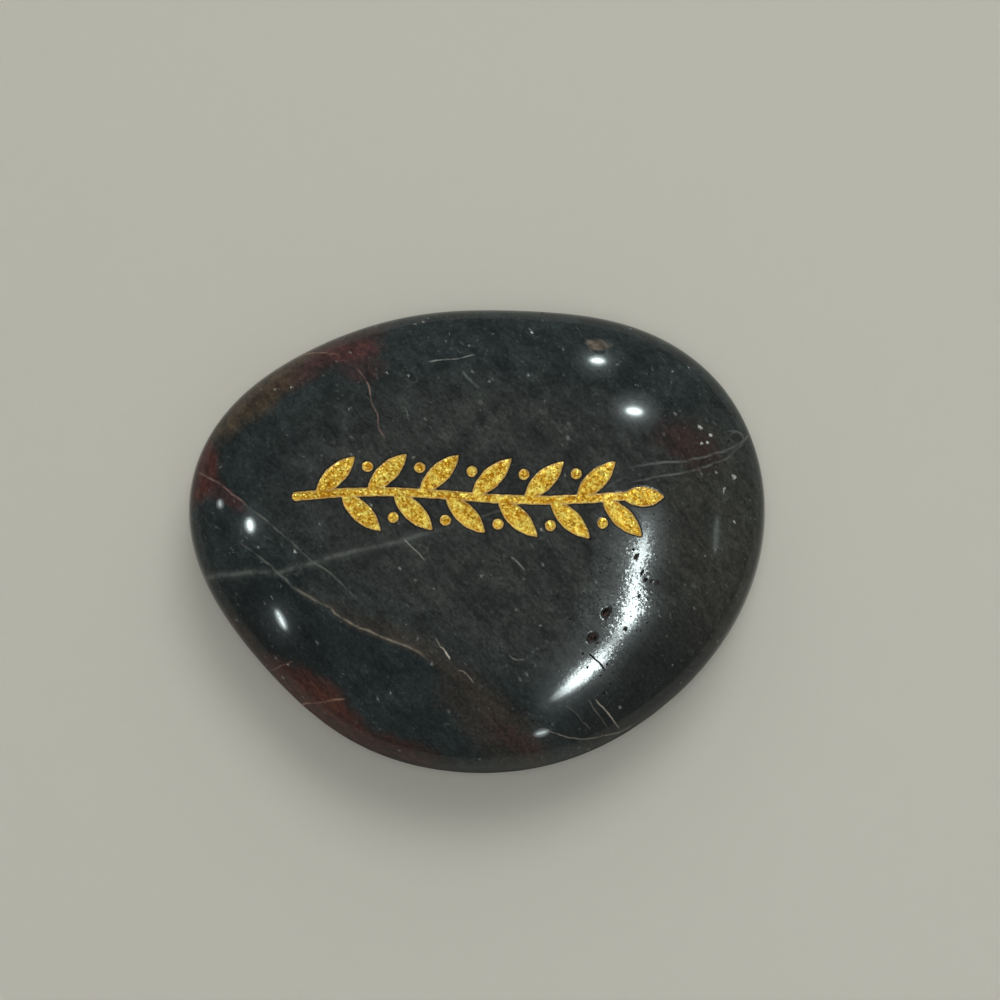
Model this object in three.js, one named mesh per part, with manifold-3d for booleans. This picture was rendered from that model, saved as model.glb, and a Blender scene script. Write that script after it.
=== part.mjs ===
// A tumbled and polished river pebble of dark jasper, with a sprig of leaves engraved across its top.
// The pebble is one solid piece of stone. It lies on a small worn flat. The sprig is a shallow groove cut
// into the polished face, and its gold paint is only a colour, so it has no solid of its own.
// Millimetres, +Z up. +X runs along the stone, +Y across it, towards the straighter of its two long sides.
// The origin is on the surface that the stone lies on, below the middle of its widest outline.

import * as THREE from "three";
import { mergeVertices } from "three/addons/utils/BufferGeometryUtils.js";
import Module from "manifold-3d";

// The widest outline: its radius at sixteen even bearings, from +X round through +Y, and how many waves
// carry it.
const RIM_RADII = [
  29.92, 30.67, 28.88, 25.57, 24.07, 24.69, 26.76, 29.7,
  29.52, 26.45, 24.77, 24.3, 24.14, 24.69, 25.79, 27.78,
];
const RIM_WAVES = 6;

// The profile from the rim up to the crown and down to the resting flat.
const THICKNESS = 15.8;
const RIM_HEIGHT = 8;
const RIM_RISE = 0.8; // how much higher the widest line lies on the +Y side, and lower on the other
const CROWN_FULLNESS = 2.55; // 2 is an ellipse, and more is a flatter top with a rounder shoulder
const SHOULDER_SWING = 0.2; // how much fuller the shoulder is on the side of SHOULDER_BEARING
const SHOULDER_BEARING = THREE.MathUtils.degToRad(-35);
const BELLY_FULLNESS = 2.6;
const FLAT_SHARE = 0.4; // radius of the resting flat as a share of the rim's

// The crown is a little uneven, as tumbling leaves it: two slow waves that cross, and die out at the rim.
const UNEVENNESS = 0.16;
const UNEVEN_LENGTH_X = 41;
const UNEVEN_LENGTH_Y = 33;

// The engraved sprig, in plan. It is cut ENGRAVING_DEPTH into the crown, square to the surface.
const ENGRAVING_DEPTH = 0.3;
const SPRIG_MIDDLE_Y = 3.8;
const STEM_START_X = -18.8;
const STEM_END_X = 15;
const STEM_WIDTH = 0.9;
const STEM_SWAY = 0.45; // height of the stem's one slow wave
const LEAF_LENGTH = 5.6;
const LEAF_WIDTH = 2;
const LEAF_BELLY = 0.45; // where a leaf is widest, as a share of its length
const LEAF_ANGLE = THREE.MathUtils.degToRad(44);
const LEAF_PITCH = 5.3;
const LEAVES_PER_SIDE = 6;
const FIRST_UPPER_LEAF_X = -16.4;
const FIRST_LOWER_LEAF_X = -13.75; // half a pitch on, so that the leaves alternate
const TIP_LEAF_LENGTH = 4.5;
const TIP_LEAF_OVERLAP = 0.4; // how far the tip leaf reaches back over the stem's end
const BERRY_RADIUS = 0.55;
const BERRY_REACH = 2.6; // from the stem's middle to the berry's, midway between two leaves

// Small natural pits in the crown: place in plan, radius at the surface and depth.
const PITS = [
  { x: 13.1, y: -8, radius: 0.48, depth: 0.26 },
  { x: 11.7, y: -10.5, radius: 0.5, depth: 0.26 },
  { x: 12.4, y: 19.6, radius: 0.65, depth: 0.2 },
];

// How finely the curved surfaces are faceted.
const BEARINGS = 88;
const CROWN_RINGS = 18;
const BELLY_RINGS = 11;
const STEM_STEPS = 40;
const STEM_HALF_SIDES = 5; // a round curve gets twice as many sides as it is given
const LEAF_STEPS = 6; // along each side of a leaf
const BERRY_HALF_SIDES = 6;
const PIT_SIDES = 12;
const SLOPE_STEP = 0.05; // how far each way a slope is measured
const MERGE_DISTANCE = 1e-4; // points closer than this are one point
const CUT_TOLERANCE = 0.002; // slivers thinner than this are closed up when a solid is cut

const TURN = 2 * Math.PI;
const SPRIG_LENGTH = STEM_END_X - STEM_START_X;

// Radius of the widest outline at a bearing: the sum of the lowest waves of the sixteen radii, so that it
// is smooth all round.
function rimRadius(bearing) {
  const count = RIM_RADII.length;
  let radius = 0;
  for (let wave = 0; wave <= RIM_WAVES; wave++) {
    const weight = (wave === 0 ? 1 : 2) / count;
    RIM_RADII.forEach((measured, i) => {
      radius += weight * measured * Math.cos(wave * (bearing - (i * TURN) / count));
    });
  }
  return radius;
}

// Middle of the outline's box, which goes over the origin.
function outlineMiddle() {
  const box = new THREE.Box2();
  for (let i = 0; i < 4 * BEARINGS; i++) {
    const bearing = (i * TURN) / (4 * BEARINGS);
    const radius = rimRadius(bearing);
    box.expandByPoint(new THREE.Vector2(radius * Math.cos(bearing), radius * Math.sin(bearing)));
  }
  return box.getCenter(new THREE.Vector2());
}

const MIDDLE = outlineMiddle();

// Height of the widest line, which leans a little.
function rimHeight(bearing) {
  return RIM_HEIGHT + RIM_RISE * Math.sin(bearing);
}

function crownFullness(bearing) {
  return CROWN_FULLNESS + SHOULDER_SWING * Math.cos(bearing - SHOULDER_BEARING);
}

// The slow waves at a place in plan, where share is 0 over the middle and 1 at the rim.
function unevenness(x, y, share) {
  const wave = Math.sin((TURN * x) / UNEVEN_LENGTH_X) * Math.sin((TURN * y) / UNEVEN_LENGTH_Y);
  return UNEVENNESS * wave * (1 - share ** 2);
}

// Height of the crown at a place in plan.
function crownHeight(x, y) {
  const fromMiddle = new THREE.Vector2(x, y).add(MIDDLE);
  const bearing = fromMiddle.angle();
  const share = Math.min(1, fromMiddle.length() / rimRadius(bearing));
  const fullness = crownFullness(bearing);
  const rim = rimHeight(bearing);
  const dome = (THICKNESS - rim) * (1 - share ** fullness) ** (1 / fullness);
  return rim + dome + unevenness(x, y, share);
}

// Direction straight out of the crown at a place in plan, from the slope over a short step each way.
function crownNormal(x, y) {
  const slopeX = (crownHeight(x + SLOPE_STEP, y) - crownHeight(x - SLOPE_STEP, y)) / (2 * SLOPE_STEP);
  const slopeY = (crownHeight(x, y + SLOPE_STEP) - crownHeight(x, y - SLOPE_STEP)) / (2 * SLOPE_STEP);
  return new THREE.Vector3(-slopeX, -slopeY, 1).normalize();
}

// The whole pebble as rings of points: the crown's rings, the rim, the belly's rings and the edge of the
// flat. One point closes it at the crown's top and one in the middle of the flat. The belly's curve would
// reach bellyDepth times the rim's height below it, had the flat not been worn off.
function pebbleGeometry() {
  const bellyDepth = 1 / (1 - FLAT_SHARE ** BELLY_FULLNESS) ** (1 / BELLY_FULLNESS);
  const flatAngle = Math.asin(FLAT_SHARE ** (BELLY_FULLNESS / 2));
  const rings = [];
  for (let ring = 1; ring <= CROWN_RINGS; ring++) {
    const angle = ((ring / CROWN_RINGS) * Math.PI) / 2;
    rings.push((bearing) => {
      const radius = Math.sin(angle) ** (2 / crownFullness(bearing)) * rimRadius(bearing);
      const x = radius * Math.cos(bearing) - MIDDLE.x;
      const y = radius * Math.sin(bearing) - MIDDLE.y;
      return [x, y, ring === CROWN_RINGS ? rimHeight(bearing) : crownHeight(x, y)];
    });
  }
  for (let ring = 1; ring <= BELLY_RINGS; ring++) {
    const angle = THREE.MathUtils.lerp(Math.PI / 2, flatAngle, ring / BELLY_RINGS);
    const power = 2 / BELLY_FULLNESS;
    const heightShare = ring === BELLY_RINGS ? 0 : 1 - bellyDepth * Math.cos(angle) ** power;
    rings.push((bearing) => {
      const radius = Math.sin(angle) ** power * rimRadius(bearing);
      const x = radius * Math.cos(bearing) - MIDDLE.x;
      const y = radius * Math.sin(bearing) - MIDDLE.y;
      return [x, y, heightShare * rimHeight(bearing)];
    });
  }

  const points = [-MIDDLE.x, -MIDDLE.y, crownHeight(-MIDDLE.x, -MIDDLE.y)];
  for (const ring of rings) {
    for (let i = 0; i < BEARINGS; i++) {
      points.push(...ring((i * TURN) / BEARINGS));
    }
  }
  points.push(-MIDDLE.x, -MIDDLE.y, 0);

  const triangles = [];
  const at = (ring, i) => 1 + ring * BEARINGS + (i % BEARINGS);
  const last = rings.length - 1;
  const flatMiddle = 1 + rings.length * BEARINGS;
  for (let i = 0; i < BEARINGS; i++) {
    triangles.push(0, at(0, i), at(0, i + 1));
    for (let ring = 0; ring < last; ring++) {
      triangles.push(at(ring, i), at(ring + 1, i), at(ring + 1, i + 1));
      triangles.push(at(ring, i), at(ring + 1, i + 1), at(ring, i + 1));
    }
    triangles.push(at(last, i), flatMiddle, at(last, i + 1));
  }
  const geometry = new THREE.BufferGeometry();
  geometry.setAttribute("position", new THREE.Float32BufferAttribute(points, 3));
  geometry.setIndex(triangles);
  return geometry;
}

// The stem's middle line in plan, one slow wave from end to end.
function stemY(x) {
  return SPRIG_MIDDLE_Y + STEM_SWAY * Math.sin((TURN * (x - STEM_START_X)) / SPRIG_LENGTH);
}

// The cutter of the stem's groove: a rod with round sides, carried along the crown.
function stemGeometry() {
  const line = [];
  for (let i = 0; i <= STEM_STEPS / 2; i++) {
    const x = STEM_START_X + (2 * i * SPRIG_LENGTH) / STEM_STEPS;
    line.push(new THREE.Vector3(x, stemY(x), crownHeight(x, stemY(x))));
  }
  const section = new THREE.Shape();
  section.absellipse(0, 0, ENGRAVING_DEPTH, STEM_WIDTH / 2, 0, TURN);
  return new THREE.ExtrudeGeometry(section, {
    steps: STEM_STEPS,
    curveSegments: STEM_HALF_SIDES,
    extrudePath: new THREE.CatmullRomCurve3(line),
  });
}

// A leaf's outline from its stalk at the origin to its tip on +X, with two bowed sides.
function leafShape(length) {
  const outline = new THREE.Shape();
  const bow = LEAF_WIDTH; // a quadratic side reaches half as far out as its handle
  outline.moveTo(0, 0);
  outline.quadraticCurveTo(length * LEAF_BELLY, -bow, length, 0);
  outline.quadraticCurveTo(length * LEAF_BELLY, bow, 0, 0);
  return outline;
}

function berryShape() {
  const outline = new THREE.Shape();
  outline.absarc(0, 0, BERRY_RADIUS, 0, TURN);
  return outline;
}

// Stands a cutter that is centred on the origin square to the crown at a place in plan.
function standOnCrown(geometry, x, y) {
  const upright = new THREE.Vector3(0, 0, 1);
  geometry.applyQuaternion(new THREE.Quaternion().setFromUnitVectors(upright, crownNormal(x, y)));
  geometry.translate(x, y, crownHeight(x, y));
  return geometry;
}

// A flat-bottomed cutter of an outline, turned to a heading.
function grooveCutter(outline, x, y, heading, segments) {
  const geometry = new THREE.ExtrudeGeometry(outline, {
    depth: 2 * ENGRAVING_DEPTH,
    bevelEnabled: false,
    curveSegments: segments,
  });
  geometry.translate(0, 0, -ENGRAVING_DEPTH);
  geometry.rotateZ(heading);
  return standOnCrown(geometry, x, y);
}

// A leaf is set square to the crown at its own middle, so that its floor keeps an even depth.
function leafCutter(x, heading, length) {
  const outline = leafShape(length);
  const half = length / 2;
  const middleX = x + half * Math.cos(heading);
  const middleY = stemY(x) + half * Math.sin(heading);
  const points = outline.getPoints(LEAF_STEPS).map((p) => p.sub(new THREE.Vector2(half, 0)));
  return grooveCutter(new THREE.Shape(points.slice(0, -1)), middleX, middleY, heading, LEAF_STEPS);
}

// A berry stands between two leaves of its side, level with the middle of the gap between them.
function berryCutter(leafX, up) {
  const x = leafX + LEAF_PITCH / 2 + BERRY_REACH / Math.tan(LEAF_ANGLE);
  return grooveCutter(berryShape(), x, stemY(x) + up * BERRY_REACH, 0, BERRY_HALF_SIDES);
}

function sprigCutters() {
  const cutters = [stemGeometry(), leafCutter(STEM_END_X - TIP_LEAF_OVERLAP, 0, TIP_LEAF_LENGTH)];
  const sides = [
    { first: FIRST_UPPER_LEAF_X, up: 1 },
    { first: FIRST_LOWER_LEAF_X, up: -1 },
  ];
  for (const { first, up } of sides) {
    for (let i = 0; i < LEAVES_PER_SIDE; i++) {
      const x = first + i * LEAF_PITCH;
      cutters.push(leafCutter(x, up * LEAF_ANGLE, LEAF_LENGTH));
      if (i < LEAVES_PER_SIDE - 1) {
        cutters.push(berryCutter(x, up));
      }
    }
  }
  return cutters;
}

// A pit is the cap of a ball. The ball's radius and the height of its middle follow from the pit's width
// and depth.
function pitCutter({ x, y, radius, depth }) {
  const ballRadius = (radius ** 2 + depth ** 2) / (2 * depth);
  const ball = new THREE.SphereGeometry(ballRadius, PIT_SIDES, PIT_SIDES);
  ball.rotateX(Math.PI / 2);
  ball.translate(0, 0, ballRadius - depth);
  return standOnCrown(ball, x, y);
}

const wasm = await Module();
wasm.setup();

function solidOf(geometry) {
  const bare = geometry.clone();
  bare.deleteAttribute("normal");
  bare.deleteAttribute("uv");
  const merged = mergeVertices(bare, MERGE_DISTANCE);
  const mesh = new wasm.Mesh({
    numProp: 3,
    vertProperties: merged.attributes.position.array,
    triVerts: new Uint32Array(merged.index.array),
  });
  return new wasm.Manifold(mesh).setTolerance(CUT_TOLERANCE);
}

function geometryOf(solid) {
  const mesh = solid.getMesh();
  const geometry = new THREE.BufferGeometry();
  geometry.setAttribute("position", new THREE.BufferAttribute(mesh.vertProperties, 3));
  geometry.setIndex(new THREE.BufferAttribute(mesh.triVerts, 1));
  geometry.computeVertexNormals();
  return geometry;
}

function engravedPebble() {
  const cutters = [...sprigCutters(), ...PITS.map(pitCutter)].map(solidOf);
  const cut = cutters.reduce((joined, cutter) => joined.add(cutter));
  const carved = solidOf(pebbleGeometry()).subtract(cut);
  const stone = new THREE.Mesh(
    geometryOf(carved),
    new THREE.MeshStandardMaterial({ color: 0x2f3534, roughness: 0.2, metalness: 0 }),
  );
  stone.name = "river_pebble";
  return stone;
}

const pebble = new THREE.Group();
pebble.add(engravedPebble());

export default pebble;
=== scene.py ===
"""A tumbled river pebble of dark veined jasper, polished all over, with a sprig of leaves engraved across its
top and filled with glittery gold paint. Everything is in metres once it is in Blender, and in millimetres in
the shape functions.
"""

import bpy
import numpy as np
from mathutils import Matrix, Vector


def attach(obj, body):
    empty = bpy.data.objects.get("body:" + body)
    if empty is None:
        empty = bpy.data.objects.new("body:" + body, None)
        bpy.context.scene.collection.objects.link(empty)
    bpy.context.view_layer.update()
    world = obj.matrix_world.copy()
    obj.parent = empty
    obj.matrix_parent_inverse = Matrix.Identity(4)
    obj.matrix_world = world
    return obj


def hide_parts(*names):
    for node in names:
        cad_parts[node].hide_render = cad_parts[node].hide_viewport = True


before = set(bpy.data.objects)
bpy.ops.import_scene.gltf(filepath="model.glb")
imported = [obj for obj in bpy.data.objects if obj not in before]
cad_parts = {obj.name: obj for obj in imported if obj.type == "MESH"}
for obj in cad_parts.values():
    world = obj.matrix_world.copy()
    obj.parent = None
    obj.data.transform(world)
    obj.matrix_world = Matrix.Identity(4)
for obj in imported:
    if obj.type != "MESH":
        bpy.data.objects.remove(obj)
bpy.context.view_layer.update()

# The camera
# A hand-held camera looks down on the stone from a little under 30 cm away, and a little from the side of its
# longer bulge. The stone fills a bit over half of the picture's width.

MM = 0.001
CAMERA_TARGET = np.array([2.4, 4.18, 8.0])
CAMERA_DISTANCE = 280.0
CAMERA_ELEVATION = np.radians(84)
SENSOR_WIDTH = 36.0
VIEW_WIDTH = 104.2  # what the picture's width covers at the height of the stone's rim

camera_offset = np.array([0, -np.cos(CAMERA_ELEVATION), np.sin(CAMERA_ELEVATION)])
camera_place = CAMERA_TARGET + CAMERA_DISTANCE * camera_offset
camera_data = bpy.data.cameras.new("camera")
camera_data.sensor_width = SENSOR_WIDTH
camera_data.lens = SENSOR_WIDTH * CAMERA_DISTANCE / VIEW_WIDTH
camera_data.clip_start = 0.01
camera = bpy.data.objects.new("camera", camera_data)
camera.location = camera_place * MM
camera.rotation_euler = Vector(-camera_offset).to_track_quat("-Z", "Y").to_euler()
bpy.context.scene.collection.objects.link(camera)
bpy.context.scene.camera = camera

# The stone: its form
# One piece of river-worn stone, egg-shaped in plan and domed above, tumbled until its shoulder is round,
# with a small flat worn below. Its outline is a few slow waves round the middle, and its section is a
# superellipse.

RIM_RADII = np.array([29.92, 30.67, 28.88, 25.57, 24.07, 24.69, 26.76, 29.7,
                      29.52, 26.45, 24.77, 24.3, 24.14, 24.69, 25.79, 27.78])
RIM_WAVES = 6
THICKNESS = 15.8
RIM_HEIGHT = 8.0
RIM_RISE = 0.8  # the widest line leans: it is higher on the far side by this, and lower on the near
CROWN_FULLNESS = 2.55
SHOULDER_SWING = 0.2  # the crown is fuller by this towards the bearing below, and less full away from it
SHOULDER_BEARING = np.radians(-35)
BELLY_FULLNESS = 2.6
FLAT_SHARE = 0.4  # the worn flat's radius, as a share of the rim's
UNEVENNESS = 0.16
UNEVEN_LENGTH_X = 41.0
UNEVEN_LENGTH_Y = 33.0
TURN = 2 * np.pi


def rim_radius(bearing):
    """Radius of the widest outline: the sum of the lowest waves of the radii measured at even bearings."""
    at = np.arange(len(RIM_RADII)) * TURN / len(RIM_RADII)
    radius = np.full_like(bearing, RIM_RADII.mean())
    for wave in range(1, RIM_WAVES + 1):
        across = 2 * np.mean(RIM_RADII * np.cos(wave * at))
        along = 2 * np.mean(RIM_RADII * np.sin(wave * at))
        radius += across * np.cos(wave * bearing) + along * np.sin(wave * bearing)
    return radius


def outline_middle():
    """Middle of the outline's box, which goes over the origin."""
    bearing = np.linspace(0, TURN, 721)
    outline = rim_radius(bearing) * np.array([np.cos(bearing), np.sin(bearing)])
    return (outline.max(axis=1) + outline.min(axis=1)) / 2


MIDDLE = outline_middle()


def rim_height(bearing):
    """Height of the widest line: one wave round the stone."""
    return RIM_HEIGHT + RIM_RISE * np.sin(bearing)


def crown_fullness(bearing):
    """Exponent of the crown's superellipse, which swings round the stone."""
    return CROWN_FULLNESS + SHOULDER_SWING * np.cos(bearing - SHOULDER_BEARING)


def crown_height(x, y):
    """Superellipse dome over the rim, plus two slow crossing waves that die out at the rim."""
    from_middle_x = x + MIDDLE[0]
    from_middle_y = y + MIDDLE[1]
    bearing = np.arctan2(from_middle_y, from_middle_x)
    share = np.minimum(1, np.hypot(from_middle_x, from_middle_y) / rim_radius(bearing))
    fullness = crown_fullness(bearing)
    rim = rim_height(bearing)
    dome = (THICKNESS - rim) * (1 - share**fullness) ** (1 / fullness)
    wave = np.sin(TURN * x / UNEVEN_LENGTH_X) * np.sin(TURN * y / UNEVEN_LENGTH_Y)
    return rim + dome + UNEVENNESS * wave * (1 - share**2)


def crown_normal(x, y):
    """Unit direction out of the crown: minus the two slopes and one, made unit length."""
    step = 0.05
    slope_x = (crown_height(x + step, y) - crown_height(x - step, y)) / (2 * step)
    slope_y = (crown_height(x, y + step) - crown_height(x, y - step)) / (2 * step)
    normal = np.stack([-slope_x, -slope_y, np.ones_like(slope_x)])
    return normal / np.linalg.norm(normal, axis=0)


def smooth_step(low, high, value):
    """0 below low, 1 above high, and the cubic 3t^2 - 2t^3 between them."""
    t = np.clip((value - low) / (high - low), 0, 1)
    return t * t * (3 - 2 * t)


# The stone: its engraving and pits
# A sprig of leaves cut into the polished top by sand blasted through a stencil, and filled with gold paint
# almost to the brim. The paint sinks a little as it dries and clings to the walls. A few pits are left from
# before the polishing.

GROOVE_DEPTH = 0.3
PAINT_DEPTH = 0.16  # how thick the paint lies in the groove
WALL_START = -0.02  # where the rounded wall begins, in mm inside the groove's edge
WALL_WIDTH = 0.3
EDGE_RAGGEDNESS = 0.05
SPRIG_MIDDLE_Y = 3.8
STEM_START_X = -18.8
STEM_END_X = 15.0
STEM_WIDTH = 0.9
STEM_SWAY = 0.45
LEAF_LENGTH = 5.6
LEAF_WIDTH = 2.0
LEAF_ANGLE = np.radians(44)
LEAF_PITCH = 5.3
LEAVES_PER_SIDE = 6
FIRST_UPPER_LEAF_X = -16.4
FIRST_LOWER_LEAF_X = -13.75
TIP_LEAF_LENGTH = 4.5
TIP_LEAF_OVERLAP = 0.4
BERRY_RADIUS = 0.55
BERRY_REACH = 2.6

# Pits: place in plan, radius, depth, and how dark the dirt and painted shade in it are.
PITS = (
    (13.1, -8.0, 0.48, 0.26, 1.0),
    (11.7, -10.5, 0.5, 0.26, 1.0),
    (12.4, 19.6, 0.65, 0.2, 0.2),
    (17.2, -4.65, 0.18, 0.02, 0.7),
    (17.75, -4.8, 0.15, 0.02, 0.7),
    (18.35, -4.95, 0.2, 0.02, 0.7),
    (16.8, -4.0, 0.15, 0.02, 0.7),
    (16.5, -6.35, 0.14, 0.02, 0.7),
    (16.2, -2.3, 0.16, 0.02, 0.7),
    (15.1, -9.65, 0.16, 0.02, 0.7),
)
DIRT_AND_SHADE_REACH = 1.25  # how far out the dirt and painted shade go, in radii


def stem_y(x):
    """Middle line of the stem: one slow sine from end to end."""
    return SPRIG_MIDDLE_Y + STEM_SWAY * np.sin(TURN * (x - STEM_START_X) / (STEM_END_X - STEM_START_X))


def inside_stem(x, y):
    """How far inside the stem a place is: half the width less the distance to the nearest part of the middle
    line."""
    nearest = np.clip(x, STEM_START_X + STEM_WIDTH / 2, STEM_END_X)
    return STEM_WIDTH / 2 - np.hypot(x - nearest, y - stem_y(nearest))


def inside_leaf(x, y, base_x, heading, length):
    """How far inside a leaf a place is: a leaf is what two equal circles share, set from its stalk along a
    heading."""
    from_x = x - base_x
    from_y = y - stem_y(base_x)
    along = from_x * np.cos(heading) + from_y * np.sin(heading) - length / 2
    across = -from_x * np.sin(heading) + from_y * np.cos(heading)
    circle = ((length / 2) ** 2 + (LEAF_WIDTH / 2) ** 2) / LEAF_WIDTH
    return circle - np.hypot(along, np.abs(across) + circle - LEAF_WIDTH / 2)


def inside_berry(x, y, leaf_x, up):
    """How far inside a round berry a place is. It stands midway between two leaves of its side."""
    berry_x = leaf_x + LEAF_PITCH / 2 + BERRY_REACH / np.tan(LEAF_ANGLE)
    return BERRY_RADIUS - np.hypot(x - berry_x, y - stem_y(berry_x) - up * BERRY_REACH)


def raggedness(x, y):
    """Small uneven waves of the stencil's edge, from about 0.5 to 2 mm long, between -1 and 1."""
    slow = np.sin(3.1 * x + 1.7 * y + 0.4) * np.sin(2.3 * y - 1.9 * x + 1.1)
    quick = np.sin(8.7 * x - 5.3 * y + 2.0) * np.sin(6.1 * x + 9.3 * y)
    return 0.6 * slow + 0.4 * quick


def inside_sprig(x, y):
    """How far inside the engraving a place is, in mm: the most that it is inside any of its shapes."""
    inside = inside_stem(x, y)
    inside = np.maximum(inside, inside_leaf(x, y, STEM_END_X - TIP_LEAF_OVERLAP, 0, TIP_LEAF_LENGTH))
    for first, up in ((FIRST_UPPER_LEAF_X, 1), (FIRST_LOWER_LEAF_X, -1)):
        for i in range(LEAVES_PER_SIDE):
            leaf_x = first + i * LEAF_PITCH
            inside = np.maximum(inside, inside_leaf(x, y, leaf_x, up * LEAF_ANGLE, LEAF_LENGTH))
            if i < LEAVES_PER_SIDE - 1:
                inside = np.maximum(inside, inside_berry(x, y, leaf_x, up))
    return inside + EDGE_RAGGEDNESS * raggedness(x, y)


def pit_dirt_shade_and_depth(x, y):
    """Dirt and painted shade, and depth, at a place in a pit: both fall from the middle as (1 - r^2)^2, the
    depth to the lobed edge and the dirt and shade to a little beyond it."""
    dirt_and_shade = np.zeros_like(x)
    depth = np.zeros_like(x)
    for number, (pit_x, pit_y, radius, full_depth, darkness) in enumerate(PITS):
        bearing = np.arctan2(y - pit_y, x - pit_x)
        edge = radius * (1 + 0.18 * np.sin(2 * bearing + number) + 0.12 * np.sin(3 * bearing + 2 * number))
        reach = np.hypot(x - pit_x, y - pit_y) / edge
        dirt_and_shade = np.maximum(dirt_and_shade, darkness * (1 - np.minimum(1, reach / DIRT_AND_SHADE_REACH) ** 2) ** 2)
        depth = np.maximum(depth, full_depth * (1 - np.minimum(1, reach) ** 2) ** 2)
    return dirt_and_shade, depth


# The stone: its surface
# The crown is a grid of two parameters folded from a square onto a disc, finest over the engraving and the
# pits. The belly is rings of points from the grid's edge down to the worn flat, so the skin is closed and
# has no seam.

CROWN_COLUMNS = ((-30.0, 0), (-19.4, 0.42), (20.0, 0.12), (30.0, 0.42))
CROWN_ROWS = ((-24.0, 0), (-14.4, 0.42), (-4.0, 0.21), (-0.9, 0.3), (8.6, 0.12), (24.0, 0.42))
BELLY_RINGS = 11
FLAT_RINGS = np.array([0.25, 0.1])  # rings on the worn flat, as shares of the rim's radius
LAST_CUT = 0.97  # nothing is cut further out than this share of the rim's radius


def grid_line(stops):
    """Parameter from -1 to 1 along one axis. Stops are places in mm, each with the spacing of the stretch
    before it."""
    places = [np.array([stops[0][0]])]
    for (start, _), (end, spacing) in zip(stops, stops[1:]):
        places.append(np.linspace(start, end, 1 + round((end - start) / spacing))[1:])
    return np.arcsin(np.concatenate(places) / stops[-1][0]) * 2 / np.pi


def crown_surface(u, v):
    """Crown over a square: x = u sqrt(1 - v^2/2) and y = v sqrt(1 - u^2/2) fold it onto a disc, whose radius
    r goes out to sin(r pi/2) of the rim's. The height is the dome's, less the unfilled depth of the engraving
    and the pits."""
    disc_x = u * np.sqrt(1 - v**2 / 2)
    disc_y = v * np.sqrt(1 - u**2 / 2)
    bearing = np.arctan2(disc_y, disc_x)
    share = np.sin(np.minimum(1, np.hypot(disc_x, disc_y)) * np.pi / 2)
    radius = share * rim_radius(bearing)
    x = radius * np.cos(bearing) - MIDDLE[0]
    y = radius * np.sin(bearing) - MIDDLE[1]
    cut = (GROOVE_DEPTH - PAINT_DEPTH) * smooth_step(WALL_START, WALL_WIDTH, inside_sprig(x, y))
    cut = np.maximum(cut, pit_dirt_shade_and_depth(x, y)[1])
    height = np.where(share < 1, crown_height(x, y), rim_height(bearing))
    return np.stack([x, y, height - cut * (share < LAST_CUT)], axis=-1)


def belly_surface(rim, rings):
    """Belly below a closed line of rim points: superellipse rings that draw in to the worn flat, then the
    rings on it."""
    depth = 1 / (1 - FLAT_SHARE**BELLY_FULLNESS) ** (1 / BELLY_FULLNESS)
    flat_angle = np.arcsin(FLAT_SHARE ** (BELLY_FULLNESS / 2))
    angle = np.linspace(np.pi / 2, flat_angle, rings + 1)[1:]
    share = np.sin(angle) ** (2 / BELLY_FULLNESS)
    height = 1 - depth * np.abs(np.cos(angle)) ** (2 / BELLY_FULLNESS)
    height[-1] = 0
    share = np.append(share, FLAT_RINGS)
    height = np.append(height, np.zeros(len(FLAT_RINGS)))
    plan = (rim[None, :, :2] + MIDDLE) * share[:, None, None] - MIDDLE
    heights = height[:, None, None] * rim[None, :, 2:]
    return np.concatenate([plan, heights], axis=-1)


def quads(corners):
    """Four-cornered faces between neighbours of a grid of vertex numbers."""
    lower_left = corners[:-1, :-1].ravel()
    lower_right = corners[:-1, 1:].ravel()
    upper_right = corners[1:, 1:].ravel()
    upper_left = corners[1:, :-1].ravel()
    return np.stack([lower_left, lower_right, upper_right, upper_left], axis=-1)


def stone_skin():
    """Vertices in mm and faces of the whole skin: the crown's grid, the belly's rings and a point that closes
    the flat."""
    columns = grid_line(CROWN_COLUMNS)
    rows = grid_line(CROWN_ROWS)
    u, v = np.meshgrid(columns, rows)
    crown = crown_surface(u, v)
    numbers = np.arange(u.size).reshape(u.shape)
    edge = np.concatenate([numbers[0, :-1], numbers[:-1, -1], numbers[-1, :0:-1], numbers[:0:-1, 0]])
    belly = belly_surface(crown.reshape(-1, 3)[edge], BELLY_RINGS)
    rings = u.size + np.arange(belly.shape[0] * len(edge)).reshape(belly.shape[:2])
    rings = np.concatenate([edge[None], rings])
    rings = np.concatenate([rings, rings[:, :1]], axis=1)
    bottom = u.size + belly.shape[0] * len(edge)
    fan = np.stack([rings[-1, 1:], rings[-1, :-1], np.full(len(edge), bottom)], axis=-1)
    vertices = np.concatenate([crown.reshape(-1, 3), belly.reshape(-1, 3), [[-MIDDLE[0], -MIDDLE[1], 0]]])
    return vertices, quads(numbers), quads(rings)[:, ::-1], fan


vertices, crown_faces, belly_faces, fan_faces = stone_skin()
stone_mesh = bpy.data.meshes.new("river_stone")
stone_mesh.from_pydata(vertices * MM, [], crown_faces.tolist() + belly_faces.tolist() + fan_faces.tolist())
stone_mesh.shade_smooth()
stone = bpy.data.objects.new("river_stone", stone_mesh)
bpy.context.scene.collection.objects.link(stone)


def store(mesh, name, kind, field, values):
    """Keeps one value for each vertex under a name that the material reads."""
    attribute = mesh.attributes.new(name, kind, "POINT")
    attribute.data.foreach_set(field, np.ascontiguousarray(values, dtype=np.float32).ravel())


x, y, z = vertices.T
bearing = np.arctan2(y + MIDDLE[1], x + MIDDLE[0])
above_rim = z - rim_height(bearing)
on_crown = above_rim > 0
store(stone_mesh, "engraved", "FLOAT", "value", np.where(on_crown, inside_sprig(x, y), -1))
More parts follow.
